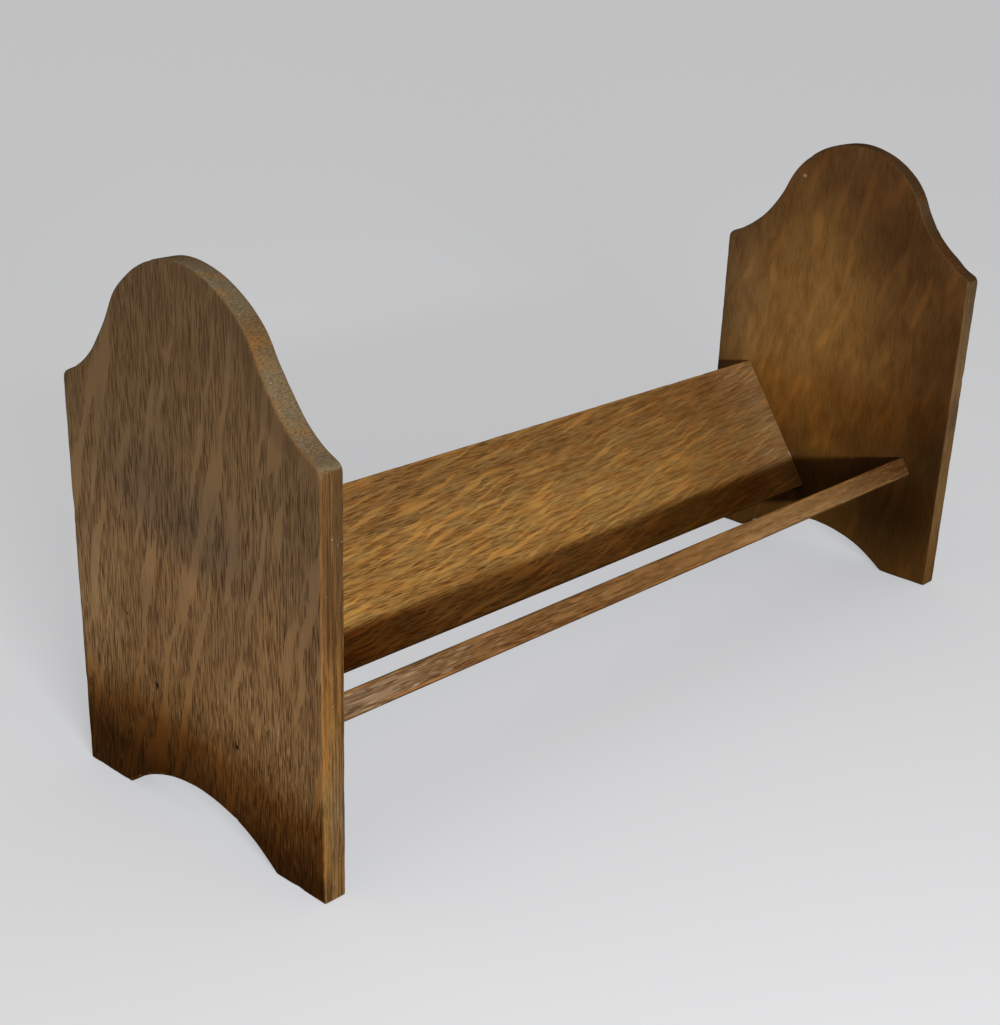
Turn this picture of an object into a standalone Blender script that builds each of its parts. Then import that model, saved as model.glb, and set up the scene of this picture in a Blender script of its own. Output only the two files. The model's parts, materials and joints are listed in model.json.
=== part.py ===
# An oak book trough: two shaped end panels, a sloping back board and a narrow front rail.
# The long way is X, the front is -Y and up is +Z. The origin is under the middle, on the table.

import math

import bmesh
import bpy

# Overall size and the end panels, in metres
OVERALL_LENGTH = 0.457
PANEL_DEPTH = 0.155
PANEL_THICKNESS = 0.0107
SHOULDER_HEIGHT = 0.1755

# The panel's top is a dome that runs into a hollow cove on each side and ends at the shoulders
DOME_RADIUS = 0.0454
DOME_CENTRE_HEIGHT = 0.189
COVE_RADIUS = 0.0594

# The arch cut from the panel's bottom edge leaves two feet
ARCH_HALF_WIDTH = 0.0485
ARCH_RISE = 0.0174

# The trough turns about its inner corner, where the book's back and base would meet
TROUGH_TILT = math.radians(35)
TROUGH_CORNER_FROM_MIDDLE = 0.0033
TROUGH_CORNER_HEIGHT = 0.0316

# The back board stands up the slope, clear of the inner corner
BACK_BOARD_WIDTH = 0.0805
BACK_BOARD_THICKNESS = 0.0107
BACK_BOARD_FROM_CORNER = 0.0075

# The front rail lies across the slope, in front of the inner corner
RAIL_WIDTH = 0.050
RAIL_THICKNESS = 0.0108
RAIL_FROM_CORNER = 0.020

# Softened edges
PANEL_ARRIS = 0.0009
BOARD_ARRIS = 0.0010
RAIL_ARRIS = 0.0014

# Wire pins, driven through the panels into the end grain and punched below the face
PIN_LENGTH = 0.030
PIN_SHANK_RADIUS = 0.0008
PIN_HEAD_RADIUS = 0.0012
PIN_HEAD_DEPTH = 0.0009
PIN_NECK_DEPTH = 0.0007
PIN_POINT_LENGTH = 0.0026
PIN_SUNK_DEPTH = 0.0026
BOARD_PIN_FROM_FACE = 0.0042
BOARD_PIN_FROM_EDGE = 0.0243
RAIL_PIN_FROM_FACE = 0.0036
RAIL_PIN_FROM_EDGE = 0.0134

# The stopping that fills the hole over each pin's head lies a little below the wood
STOPPING_SHRINK = 0.00025
STOPPING_DISH = 0.0002

# Gap left between pieces that touch, and how far a cutter runs past the wood
FIT_GAP = 0.0003
CUTTER_OVERRUN = 0.002

# How finely curves are divided
DOME_STEPS = 26
COVE_STEPS = 9
ARCH_STEPS = 14
EDGE_SEGMENTS = 2
TURNED_STEPS = 12
SHARP_ANGLE = math.radians(35)
FLAT_ANGLE = math.radians(0.1)
MERGE_DISTANCE = 0.00001

# A quarter turn stands flat work upright and lays turned work along X
QUARTER_TURN = math.pi / 2

# The oak and the fittings: base colour, roughness and metallic value
FINISHES = {
    "oak_panel": ((0.125, 0.068, 0.029), 0.48, 0.0),
    "oak_board": ((0.200, 0.108, 0.038), 0.42, 0.0),
    "oak_rail": ((0.240, 0.135, 0.062), 0.45, 0.0),
    "dark_stopping": ((0.030, 0.016, 0.008), 0.60, 0.0),
    "pin_steel": ((0.240, 0.225, 0.205), 0.45, 1.0),
}


def clear_scene():
    """Removes whatever the file holds at the start."""
    for obj in list(bpy.data.objects):
        bpy.data.objects.remove(obj, do_unlink=True)


def new_collection(name):
    """Makes a collection inside the scene."""
    collection = bpy.data.collections.new(name)
    bpy.context.scene.collection.children.link(collection)
    return collection


def make_material(name):
    """Makes a Principled material from its line in the table of finishes."""
    colour, roughness, metallic = FINISHES[name]
    material = bpy.data.materials.new(name)
    material.use_nodes = True
    shader = material.node_tree.nodes["Principled BSDF"]
    shader.inputs["Base Color"].default_value = (*colour, 1.0)
    shader.inputs["Roughness"].default_value = roughness
    shader.inputs["Metallic"].default_value = metallic
    return material


def add_object(name, mesh, collection, material=None, parent=None):
    """Puts a mesh in the scene as an object of the given name."""
    obj = bpy.data.objects.new(name, mesh)
    collection.objects.link(obj)
    if material:
        mesh.materials.append(material)
    if parent:
        obj.parent = parent
    return obj


def smooth_rounds(mesh):
    """Shades a mesh smooth across its rounded edges and sharp at its corners."""
    mesh.shade_smooth()
    mesh.set_sharp_from_angle(angle=SHARP_ANGLE)


def soften(obj, width):
    """Rounds the piece's edges as hand work and wear leave them."""
    bevel = obj.modifiers.new("softened_edges", "BEVEL")
    bevel.width = width
    bevel.segments = EDGE_SEGMENTS
    bevel.limit_method = "ANGLE"
    bevel.angle_limit = SHARP_ANGLE


def arc(centre, radius, start, end, steps):
    """Points along an arc, both ends included."""
    points = []
    for step in range(steps + 1):
        angle = start + (end - start) * step / steps
        points.append((centre[0] + radius * math.cos(angle), centre[1] + radius * math.sin(angle)))
    return points


def cove_centre():
    """Centre of the hollow that touches the dome and ends at the front or back shoulder."""
    dome = (0.0, DOME_CENTRE_HEIGHT)
    shoulder = (PANEL_DEPTH / 2, SHOULDER_HEIGHT)
    across = shoulder[0] - dome[0]
    down = shoulder[1] - dome[1]
    apart = math.hypot(across, down)
    reach = DOME_RADIUS + COVE_RADIUS
    along = (apart**2 + reach**2 - COVE_RADIUS**2) / (2 * apart)
    aside = math.sqrt(reach**2 - along**2)
    centre_across = dome[0] + (across * along - down * aside) / apart
    centre_up = dome[1] + (down * along + across * aside) / apart
    return centre_across, centre_up


def half_top():
    """The panel's top edge from the middle of the dome down to the shoulder."""
    centre = cove_centre()
    to_cove = math.atan2(centre[1] - DOME_CENTRE_HEIGHT, centre[0])
    to_shoulder = math.atan2(SHOULDER_HEIGHT - centre[1], PANEL_DEPTH / 2 - centre[0])
    dome = arc((0.0, DOME_CENTRE_HEIGHT), DOME_RADIUS, QUARTER_TURN, to_cove, DOME_STEPS // 2)
    cove = arc(centre, COVE_RADIUS, to_cove - math.pi, to_shoulder, COVE_STEPS)
    return dome + cove[1:]


def foot_arch():
    """The arch under the panel, from the back foot to the front foot."""
    radius = (ARCH_HALF_WIDTH**2 + ARCH_RISE**2) / (2 * ARCH_RISE)
    centre = (0.0, ARCH_RISE - radius)
    spread = math.asin(ARCH_HALF_WIDTH / radius)
    return arc(centre, radius, QUARTER_TURN - spread, QUARTER_TURN + spread, ARCH_STEPS)


def panel_outline():
    """The whole outline of an end panel, with depth across and height up."""
    back = half_top()
    front = [(-across, up) for across, up in back[1:]]
    half_depth = PANEL_DEPTH / 2
    feet = [(half_depth, 0.0)] + foot_arch() + [(-half_depth, 0.0)]
    return feet + list(reversed(front)) + back


def mesh_of_flat_curve(name, outline, thickness):
    """Extrudes a closed outline to a thickness and returns the mesh, with its caps welded on."""
    curve = bpy.data.curves.new(name, "CURVE")
    curve.dimensions = "2D"
    curve.fill_mode = "BOTH"
    curve.extrude = thickness / 2
    spline = curve.splines.new("POLY")
    spline.points.add(len(outline) - 1)
    for point, (across, up) in zip(spline.points, outline):
        point.co = (across, up, 0.0, 1.0)
    spline.use_cyclic_u = True
    flat = bpy.data.objects.new(name, curve)
    bpy.context.scene.collection.objects.link(flat)
    graph = bpy.context.evaluated_depsgraph_get()
    mesh = bpy.data.meshes.new_from_object(flat.evaluated_get(graph))
    bpy.data.objects.remove(flat, do_unlink=True)
    work = bmesh.new()
    work.from_mesh(mesh)
    bmesh.ops.remove_doubles(work, verts=work.verts, dist=MERGE_DISTANCE)
    bmesh.ops.dissolve_limit(work, angle_limit=FLAT_ANGLE, verts=work.verts, edges=work.edges)
    bmesh.ops.recalc_face_normals(work, faces=work.faces)
    work.to_mesh(mesh)
    work.free()
    return mesh


def make_end_panel(name, middle, material, collection):
    """Cuts one end panel and stands it upright across the trough's end."""
    mesh = mesh_of_flat_curve(name, panel_outline(), PANEL_THICKNESS)
    panel = add_object(name, mesh, collection, material)
    panel.location = (middle, 0.0, 0.0)
    panel.rotation_euler = (QUARTER_TURN, 0.0, QUARTER_TURN)
    soften(panel, PANEL_ARRIS)
    smooth_rounds(mesh)
    return panel


def make_board(name, size, centre, arris, material, collection, parent):
    """Makes a straight board of the given length, thickness and width in the tilted trough."""
    work = bmesh.new()
    bmesh.ops.create_cube(work, size=1.0)
    bmesh.ops.scale(work, vec=size, verts=work.verts)
    mesh = bpy.data.meshes.new(name)
    work.to_mesh(mesh)
    work.free()
    board = add_object(name, mesh, collection, material, parent)
    board.location = centre
    soften(board, arris)
    smooth_rounds(mesh)
    return board


def make_turned(name, profile, collection, material=None, parent=None):
    """Turns a profile of radii and heights, given from the top down, into a closed round piece."""
    work = bmesh.new()
    points = [work.verts.new((radius, 0.0, height)) for radius, height in profile]
    for upper, lower in zip(points, points[1:]):
        work.edges.new((upper, lower))
    mesh = bpy.data.meshes.new(name)
    work.to_mesh(mesh)
    work.free()
    turned = add_object(name, mesh, collection, material, parent)
    screw = turned.modifiers.new("turned", "SCREW")
    screw.steps = TURNED_STEPS
    screw.render_steps = TURNED_STEPS
    screw.use_merge_vertices = True
    screw.merge_threshold = MERGE_DISTANCE
    screw.use_smooth_shade = True
    return turned


def pin_profile():
    """A wire pin with its head's top at height zero and its point hanging down."""
    neck = PIN_HEAD_DEPTH + PIN_NECK_DEPTH
    return [
        (0.0, 0.0),
        (PIN_HEAD_RADIUS, 0.0),
        (PIN_HEAD_RADIUS, -PIN_HEAD_DEPTH),
        (PIN_SHANK_RADIUS, -neck),
        (PIN_SHANK_RADIUS, PIN_POINT_LENGTH - PIN_LENGTH),
        (0.0, -PIN_LENGTH),
    ]


def pin_hole_profile():
    """The hole that a pin and its stopping sit in, measured like the pin."""
    head_radius = PIN_HEAD_RADIUS + FIT_GAP
    shank_radius = PIN_SHANK_RADIUS + FIT_GAP
    neck = PIN_HEAD_DEPTH + PIN_NECK_DEPTH + FIT_GAP
    mouth = PIN_SUNK_DEPTH + CUTTER_OVERRUN
    return [
        (0.0, mouth),
        (head_radius, mouth),
        (head_radius, -PIN_HEAD_DEPTH - FIT_GAP),
        (shank_radius, -neck),
        (shank_radius, -PIN_LENGTH - FIT_GAP),
        (0.0, -PIN_LENGTH - FIT_GAP),
    ]


def stopping_profile():
    """The plug of stopping over a pin's head, dished at the top."""
    top = PIN_SUNK_DEPTH - STOPPING_SHRINK
    return [
        (0.0, top - STOPPING_DISH),
        (PIN_HEAD_RADIUS, top),
        (PIN_HEAD_RADIUS, FIT_GAP),
        (0.0, FIT_GAP),
    ]


def cut(piece, cutter):
    """Cuts the shape of one piece out of another."""
    boolean = piece.modifiers.new("cut_" + cutter.name, "BOOLEAN")
    boolean.operation = "DIFFERENCE"
    boolean.solver = "EXACT"
    boolean.object = cutter


def place(turned, side, across, up):
    """Lays a turned piece along X with its top at a pin head's level, on the left or right side."""
    head_level = OVERALL_LENGTH / 2 - PIN_SUNK_DEPTH
    turned.location = (side * head_level, across, up)
    turned.rotation_euler = (0.0, side * QUARTER_TURN, 0.0)


def make_fixing(name, side, across, up, pieces, collections, materials, trough):
    """Makes a pin, its stopping and the hole for both through a panel and into a board's end."""
    parts, cutters = collections
    pin = make_turned("pin_" + name, pin_profile(), parts, materials["pin_steel"], trough)
    stopping = make_turned("stopping_" + name, stopping_profile(), parts, materials["dark_stopping"], trough)
    hole = make_turned("hole_" + name, pin_hole_profile(), cutters, None, trough)
    hole.hide_render = True
    hole.display_type = "WIRE"
    for turned in (pin, stopping, hole):
        place(turned, side, across, up)
    for piece in pieces:
        cut(piece, hole)


def make_trough(parts):
    """Makes the empty that carries the tilted boards and their pins."""
    trough = bpy.data.objects.new("trough", None)
    parts.objects.link(trough)
    trough.location = (0.0, TROUGH_CORNER_FROM_MIDDLE, TROUGH_CORNER_HEIGHT)
    trough.rotation_euler = (-TROUGH_TILT, 0.0, 0.0)
    return trough


def build():
    """Builds the whole book trough."""
    clear_scene()
    parts = new_collection("book_trough")
    cutters = new_collection("book_trough_cutters")
    cutters.hide_render = True
    materials = {name: make_material(name) for name in FINISHES}
    trough = make_trough(parts)

    panel_middle = (OVERALL_LENGTH - PANEL_THICKNESS) / 2
    panels = {
        "left": make_end_panel("left_end_panel", -panel_middle, materials["oak_panel"], parts),
        "right": make_end_panel("right_end_panel", panel_middle, materials["oak_panel"], parts),
    }

    inner_length = OVERALL_LENGTH - 2 * PANEL_THICKNESS - 2 * FIT_GAP
    back_size = (inner_length, BACK_BOARD_THICKNESS, BACK_BOARD_WIDTH)
    back_centre = (0.0, BACK_BOARD_THICKNESS / 2, BACK_BOARD_FROM_CORNER + BACK_BOARD_WIDTH / 2)
    back = make_board("back_board", back_size, back_centre, BOARD_ARRIS, materials["oak_board"], parts, trough)

    rail_size = (inner_length, RAIL_WIDTH, RAIL_THICKNESS)
    rail_centre = (0.0, -RAIL_FROM_CORNER - RAIL_WIDTH / 2, -RAIL_THICKNESS / 2)
    rail = make_board("front_rail", rail_size, rail_centre, RAIL_ARRIS, materials["oak_rail"], parts, trough)

    board_low = BACK_BOARD_FROM_CORNER + BOARD_PIN_FROM_EDGE
    board_high = BACK_BOARD_FROM_CORNER + BACK_BOARD_WIDTH - BOARD_PIN_FROM_EDGE
    rail_back = -RAIL_FROM_CORNER - RAIL_PIN_FROM_EDGE
    rail_front = -RAIL_FROM_CORNER - RAIL_WIDTH + RAIL_PIN_FROM_EDGE
    fixings = [
        ("board_low", back, BOARD_PIN_FROM_FACE, board_low),
        ("board_high", back, BOARD_PIN_FROM_FACE, board_high),
        ("rail_back", rail, rail_back, -RAIL_PIN_FROM_FACE),
        ("rail_front", rail, rail_front, -RAIL_PIN_FROM_FACE),
    ]
    for side_name, side in (("left", -1), ("right", 1)):
        for place_name, board, across, up in fixings:
            name = side_name + "_" + place_name
            pieces = (panels[side_name], board)
            make_fixing(name, side, across, up, pieces, (parts, cutters), materials, trough)


build()
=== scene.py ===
# %% [markdown]
# # An oak book trough
#
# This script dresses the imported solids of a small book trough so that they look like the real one:
# two shaped end panels, a sloping back board and a narrow front rail, all in old waxed oak.
# Each step first says what the thing is on the real trough, then how it could be made, and then
# makes it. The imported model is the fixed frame, so every length here is in metres, +X runs along
# the trough, -Y is the open front and +Z is up.

# %% The frame
import json
import math

import bmesh
import bpy
from mathutils import Matrix, Vector, kdtree, noise

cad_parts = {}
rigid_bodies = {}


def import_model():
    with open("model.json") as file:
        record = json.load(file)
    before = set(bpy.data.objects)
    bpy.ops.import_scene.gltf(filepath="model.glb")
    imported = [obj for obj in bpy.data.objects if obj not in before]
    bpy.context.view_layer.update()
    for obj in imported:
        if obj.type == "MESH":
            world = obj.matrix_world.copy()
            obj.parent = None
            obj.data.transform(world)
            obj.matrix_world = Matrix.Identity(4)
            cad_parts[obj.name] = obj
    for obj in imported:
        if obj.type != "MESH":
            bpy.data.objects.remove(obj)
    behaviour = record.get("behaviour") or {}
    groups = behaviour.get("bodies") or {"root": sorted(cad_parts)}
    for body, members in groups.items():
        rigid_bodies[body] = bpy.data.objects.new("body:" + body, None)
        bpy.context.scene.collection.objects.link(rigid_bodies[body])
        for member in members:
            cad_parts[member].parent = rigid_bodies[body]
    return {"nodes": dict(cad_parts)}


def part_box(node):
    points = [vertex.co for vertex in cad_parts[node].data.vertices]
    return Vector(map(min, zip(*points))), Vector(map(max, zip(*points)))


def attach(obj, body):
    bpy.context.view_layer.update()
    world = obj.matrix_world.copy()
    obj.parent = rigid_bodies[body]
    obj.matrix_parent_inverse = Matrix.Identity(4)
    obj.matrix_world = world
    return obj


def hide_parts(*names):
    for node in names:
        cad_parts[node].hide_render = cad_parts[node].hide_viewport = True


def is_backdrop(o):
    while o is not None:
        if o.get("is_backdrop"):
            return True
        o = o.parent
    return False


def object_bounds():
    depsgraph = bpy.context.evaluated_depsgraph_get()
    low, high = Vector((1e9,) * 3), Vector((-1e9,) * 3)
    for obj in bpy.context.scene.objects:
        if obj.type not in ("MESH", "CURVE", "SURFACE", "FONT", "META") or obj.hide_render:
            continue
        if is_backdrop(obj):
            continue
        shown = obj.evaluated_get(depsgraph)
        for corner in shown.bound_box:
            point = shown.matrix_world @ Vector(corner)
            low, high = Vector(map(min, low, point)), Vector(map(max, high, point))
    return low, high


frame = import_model()
solid_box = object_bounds()
scene = bpy.context.scene
print("solids:", len(frame["nodes"]), "nodes")

# %% Sizes from the solids
MM = 0.001
HALF_LENGTH, HALF_DEPTH, PANEL_HEIGHT = (round(reach, 4) for reach in solid_box[1])
panel_low, panel_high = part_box("left_end_panel")
THICKNESS = round(panel_high.x - panel_low.x, 4)
INNER_FACE = HALF_LENGTH - THICKNESS
BOARD_REACH = round(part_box("back_board")[1].x, 4)


def mm(*sizes):
    """These millimetres in metres."""
    return tuple(size * MM for size in sizes)


def add_object(name, data):
    """Links a new object that holds this data."""
    made = bpy.data.objects.new(name, data)
    scene.collection.objects.link(made)
    return made


print("panels", THICKNESS, "m thick, boards", 2 * BOARD_REACH, "m long")

# %% [markdown]
# ## The camera
#
# The camera stands a little above the trough, to the left of its open front. The place, the turn
# and the lens were solved from the straight edges of both end panels, so the solids fall on the
# same pixels as the real edges. The small roll comes of a camera held by hand, and the small shift
# is the crop. Three plain rotations make the turn, because an Euler angle would hide the roll.

# %% Camera
EYE = Vector((-0.5675, -0.473, 0.3643))
TURN_FROM_FRONT = math.radians(48.26)
TILT_DOWN = math.radians(23.72)
ROLL = math.radians(2.47)
LENS = 57.16
CROP_SHIFT = (-0.0211, 0.0689)
NEAREST_SEEN = 0.02

camera_data = bpy.data.cameras.new("view")
camera_data.lens = LENS
camera_data.shift_x, camera_data.shift_y = CROP_SHIFT
camera_data.clip_start = NEAREST_SEEN
camera = add_object("view", camera_data)
camera.matrix_world = (
    Matrix.Translation(EYE)
    @ Matrix.Rotation(-TURN_FROM_FRONT, 4, "Z")
    @ Matrix.Rotation(math.pi / 2 - TILT_DOWN, 4, "X")
    @ Matrix.Rotation(ROLL, 4, "Z")
)
scene.camera = camera
scene.view_settings.view_transform = "Standard"
print("camera looks along", tuple(round(a, 3) for a in camera.matrix_world.col[2].xyz * -1))

# %% [markdown]
# ## A way to write finishes
#
# A wood finish is mostly arithmetic on noise. Wiring each Math node by hand is slow to read, so a
# small class wraps one socket and turns Python's own signs into Math nodes, while colours get verbs
# of their own. Every other node comes from one method, which takes its type, settings and feeds.


# %% Wires
def maths(operation, swapped=False):
    """A method that adds this Math node; swapped is for a number on the left."""
    if swapped:
        return lambda wire, other: wire.sum(operation, other, wire)
    return lambda wire, other: wire.sum(operation, wire, other)


class Wire:
    """One output socket, so that a sum in Python becomes Math nodes."""

    def __init__(self, finish, socket):
        self.finish = finish
        self.socket = socket

    def sum(self, operation, *values):
        """Adds a Math node that works on these values."""
        return self.finish.node("ShaderNodeMath", dict(enumerate(values)), operation=operation)

    __add__, __radd__ = maths("ADD"), maths("ADD", swapped=True)
    __sub__, __rsub__ = maths("SUBTRACT"), maths("SUBTRACT", swapped=True)
    __mul__, __rmul__ = maths("MULTIPLY"), maths("MULTIPLY", swapped=True)
    __truediv__, __rtruediv__ = maths("DIVIDE"), maths("DIVIDE", swapped=True)
    most, least = maths("MAXIMUM"), maths("MINIMUM")

    def __abs__(self):
        return self.sum("ABSOLUTE", self)

    def rise(self, low, high):
        """Runs smoothly from 0 at low to 1 at high; high may lie below low."""
        fed = {"Value": self, "From Min": low, "From Max": high}
        return self.finish.node("ShaderNodeMapRange", fed, interpolation_type="SMOOTHSTEP")

    def between(self, first, second):
        """The colour that lies this share of the way from the first to the second."""
        fed = {0: self, 6: first, 7: second}
        return self.finish.node("ShaderNodeMix", fed, output=2, data_type="RGBA")

    def tint(self, shares):
        """This colour with its red, green and blue multiplied."""
        fed = {0: self, 1: shares}
        return self.finish.node("ShaderNodeVectorMath", fed, operation="MULTIPLY")

    def covered(self, share, colour):
        """This colour under another, which covers it by a share."""
        return share.between(self, colour)

    def toned(self, share, shares):
        """This colour, tinted as far as a share says."""
        return share.between(self, self.tint(shares))


# %% Finishes
class Finish:
    """A material or world that is being wired."""

    def __init__(self, owner):
        owner.use_nodes = True
        self.owner = owner
        self.tree = owner.node_tree
        self.tree.nodes.clear()

    def node(self, kind, fed=None, output=0, stops=None, **settings):
        """Adds a node: its settings first, then its sockets, by name or number."""
        made = self.tree.nodes.new(kind)
        for name, value in settings.items():
            setattr(made, name, value)
        if stops:
            elements = made.color_ramp.elements
            while len(elements) < len(stops):
                elements.new(0.5)
            for element, (place, colour) in zip(elements, stops):
                element.position = place
                element.color = (*colour, 1.0)
        for name, value in (fed or {}).items():
            socket = made.inputs[name]
            if isinstance(value, Wire):
                self.tree.links.new(value.socket, socket)
            elif socket.type == "RGBA":
                socket.default_value = (*value, 1.0)
            else:
                socket.default_value = value
        return Wire(self, made.outputs[output]) if made.outputs else None

    def surface(self, shader):
        """Sends the last shader to the output."""
        self.node("ShaderNodeOutputMaterial", {"Surface": shader})


def new_finish(name):
    return Finish(bpy.data.materials.new(name))


print("finishes are written as sums of wires")

# %% [markdown]
# ## The room
#
# The trough gets a plain pale floor in a plain pale room, so that the object alone is judged. A
# pale floor would throw light up under the boards, where the real ones are in deep shade, so light
# that bounces off the floor sees it dark, while the camera and reflections see it pale, with the
# shadow kept.

# %% Floor
PALE = (0.575, 0.595, 0.635)
FLOOR_DEPTH = (0.1, 0.085, 0.07)
FLOOR_GLOW = 0.62
FLOOR_REACH = 12


def seen_share(finish):
    """1 for the camera and for reflections, 0 for light that bounces."""
    rays = finish.node("ShaderNodeLightPath").socket.node.outputs
    names = ("Is Camera Ray", "Is Glossy Ray", "Is Transmission Ray")
    camera_ray, glossy_ray, clear_ray = (Wire(finish, rays[name]) for name in names)
    return camera_ray.most(glossy_ray).most(clear_ray)


floor_finish = new_finish("pale_floor")
seen = seen_share(floor_finish)
floor_fed = {"Color": seen.between(FLOOR_DEPTH, PALE)}
floor_diffuse = floor_finish.node("ShaderNodeBsdfDiffuse", floor_fed)
glow_fed = {"Color": PALE, "Strength": seen * FLOOR_GLOW}
floor_glow = floor_finish.node("ShaderNodeEmission", glow_fed)
floor_finish.surface(floor_finish.node("ShaderNodeAddShader", {0: floor_diffuse, 1: floor_glow}))

floor_shape = bmesh.new()
bmesh.ops.create_circle(floor_shape, cap_ends=True, segments=64, radius=FLOOR_REACH)
floor_mesh = bpy.data.meshes.new("floor")
floor_shape.to_mesh(floor_mesh)
floor_shape.free()
floor_mesh.materials.append(floor_finish.owner)
floor = add_object("floor", floor_mesh)
floor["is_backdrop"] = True
print("floor reaches", FLOOR_REACH, "m")

# %% Surroundings
SKY = (1.0, 0.91, 0.76)
SKY_STRENGTH = 0.3

scene.world = bpy.data.worlds.new("room")
room = Finish(scene.world)
room_seen = seen_share(room)
room_light = room.node("ShaderNodeBackground", {"Color": SKY, "Strength": SKY_STRENGTH})
room_view = room.node("ShaderNodeBackground", {"Color": PALE, "Strength": 1.0})
room_both = room.node("ShaderNodeMixShader", {0: room_seen, 1: room_light, 2: room_view})
room.node("ShaderNodeOutputWorld", {"Surface": room_both})
print("the room is pale to the camera")

# %% [markdown]
# ## The light
#
# In the photo the rail's shadow falls on the lower third of the back board and on the far panel,
# and its edge rises 15 degrees from the board to the rail. That gives the lamp's height. Both end
# panels' left faces are lit too, so it stands left of the front, and the far end is a third darker
# than the near end, which puts it little more than a metre away. It is low and wide, because the
# shadow's edge is only about 3 mm soft. A sun lamp would give the shadow but not the fall of light.

# %% Lamp
LAMP_PLACE = Vector((-0.66, -1.04, 0.335))
LAMP_AIM = Vector((-0.02, 0.0, 0.07))
LAMP_WIDTH = 0.36
LAMP_HEIGHT = 0.045
LAMP_POWER = 12.5
LAMP_COLOUR = (1.0, 0.97, 0.92)

lamp_data = bpy.data.lights.new("lamp", "AREA")
lamp_data.shape = "RECTANGLE"
lamp_data.size = LAMP_WIDTH
lamp_data.size_y = LAMP_HEIGHT
lamp_data.energy = LAMP_POWER
lamp_data.color = LAMP_COLOUR
lamp = add_object("lamp", lamp_data)
lamp_turn = (LAMP_AIM - LAMP_PLACE).to_track_quat("-Z", "Y").to_matrix().to_4x4()
lamp.matrix_world = Matrix.Translation(LAMP_PLACE) @ lamp_turn
print("lamp distance", round((LAMP_AIM - LAMP_PLACE).length, 2), "m")

# %% [markdown]
# ## Reading the wood
#
# Both panels and both boards are oak that was sawn on the quarter or close to it. On such a face
# the open pores are short dark dashes along the grain, and the rays show as smooth lighter flecks
# that lie across it at a slant. A picture of wood would stop at the edges. A solid pattern runs
# through the board instead, so a pore that is a dash on the face is a dot on the end grain.


# %% Places and patterns
def lay(place, size, turn=(0, 0, 0), centre=(0, 0, 0)):
    """The place measured from a centre, turned, in steps of these sizes."""
    fed = {"Vector": place, "Location": centre, "Rotation": turn, "Scale": size}
    return place.finish.node("ShaderNodeMapping", fed, vector_type="TEXTURE")


def cloud(place, size, turn=(0, 0, 0), centre=(0, 0, 0), detail=1.0, rough=0.5):
    """Soft noise with blots of these sizes, from 0 to 1 with a mean of a half."""
    laid = lay(place, size, turn, centre)
    fed = {"Vector": laid, "Scale": 1.0, "Detail": detail, "Roughness": rough}
    return place.finish.node("ShaderNodeTexNoise", fed, noise_dimensions="3D")


def cells(place, size):
    """How far the nearest cell's middle is, and the number that the cell drew."""
    laid = lay(place, size)
    near = place.finish.node("ShaderNodeTexVoronoi", {"Vector": laid, "Scale": 1.0}, feature="F1")
    tone = Wire(place.finish, near.socket.node.outputs["Color"])
    return near, place.finish.node("ShaderNodeSeparateColor", {"Color": tone})


def crumbs(place, size, radius, share):
    """Small spots, one in some cells of these sizes, of a radius given in cells."""
    near, drawn = cells(place, size)
    return near.rise(radius, radius * 0.5) * drawn.rise(1 - share, 1 - share + 0.01)


def blot(place, centre, reach, turn=(0, 0, 0), soft=0.9):
    """One soft oval mark at a place on the piece, 1 inside and 0 outside."""
    laid = lay(place, reach, turn, centre)
    length = place.finish.node("ShaderNodeVectorMath", {0: laid}, output="Value", operation="LENGTH")
    return length.rise(1.0, 1.0 - soft)


print("patterns are laid by the sizes of their blots")


# %% What the mesh tells
def parts_of(vector):
    """The three numbers of a vector."""
    split = vector.finish.node("ShaderNodeSeparateXYZ", {"Vector": vector})
    return [Wire(vector.finish, socket) for socket in split.socket.node.outputs]


def painted(finish, name):
    """A number that the piece's mesh carries at each corner."""
    return finish.node("ShaderNodeAttribute", output="Fac", attribute_name=name)


def object_place(finish):
    """The place on the piece."""
    return finish.node("ShaderNodeTexCoord", output="Object")


def object_facing(finish):
    """The way that the surface faces."""
    return finish.node("ShaderNodeTexCoord", output="Normal")


print("places and ways can be read")

# %% [markdown]
# ## Oak
#
# One function makes the oak that all pieces share: the ray flecks, the open pores, and the grain
# that also roughens the surface. The flecks are a slanted noise cut off at a level. Real ones
# wander and end in single fibres, so the place is first bent by a slow noise and combed along the
# grain by a fine one. Pores are thin dashes, one to a long thin cell, some deep and some faint,
# closer in some rows than in others, and inside a fleck there are almost none. A second function
# lays them over any ground colour as shares of it, so that the figure keeps its contrast where the
# wood is dark with age as well as where it is rubbed pale. A third adds a soft coat of wax.

# %% Oak's figure
BEND_REACH = 7 * MM
COMB_REACH = 6 * MM


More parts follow.
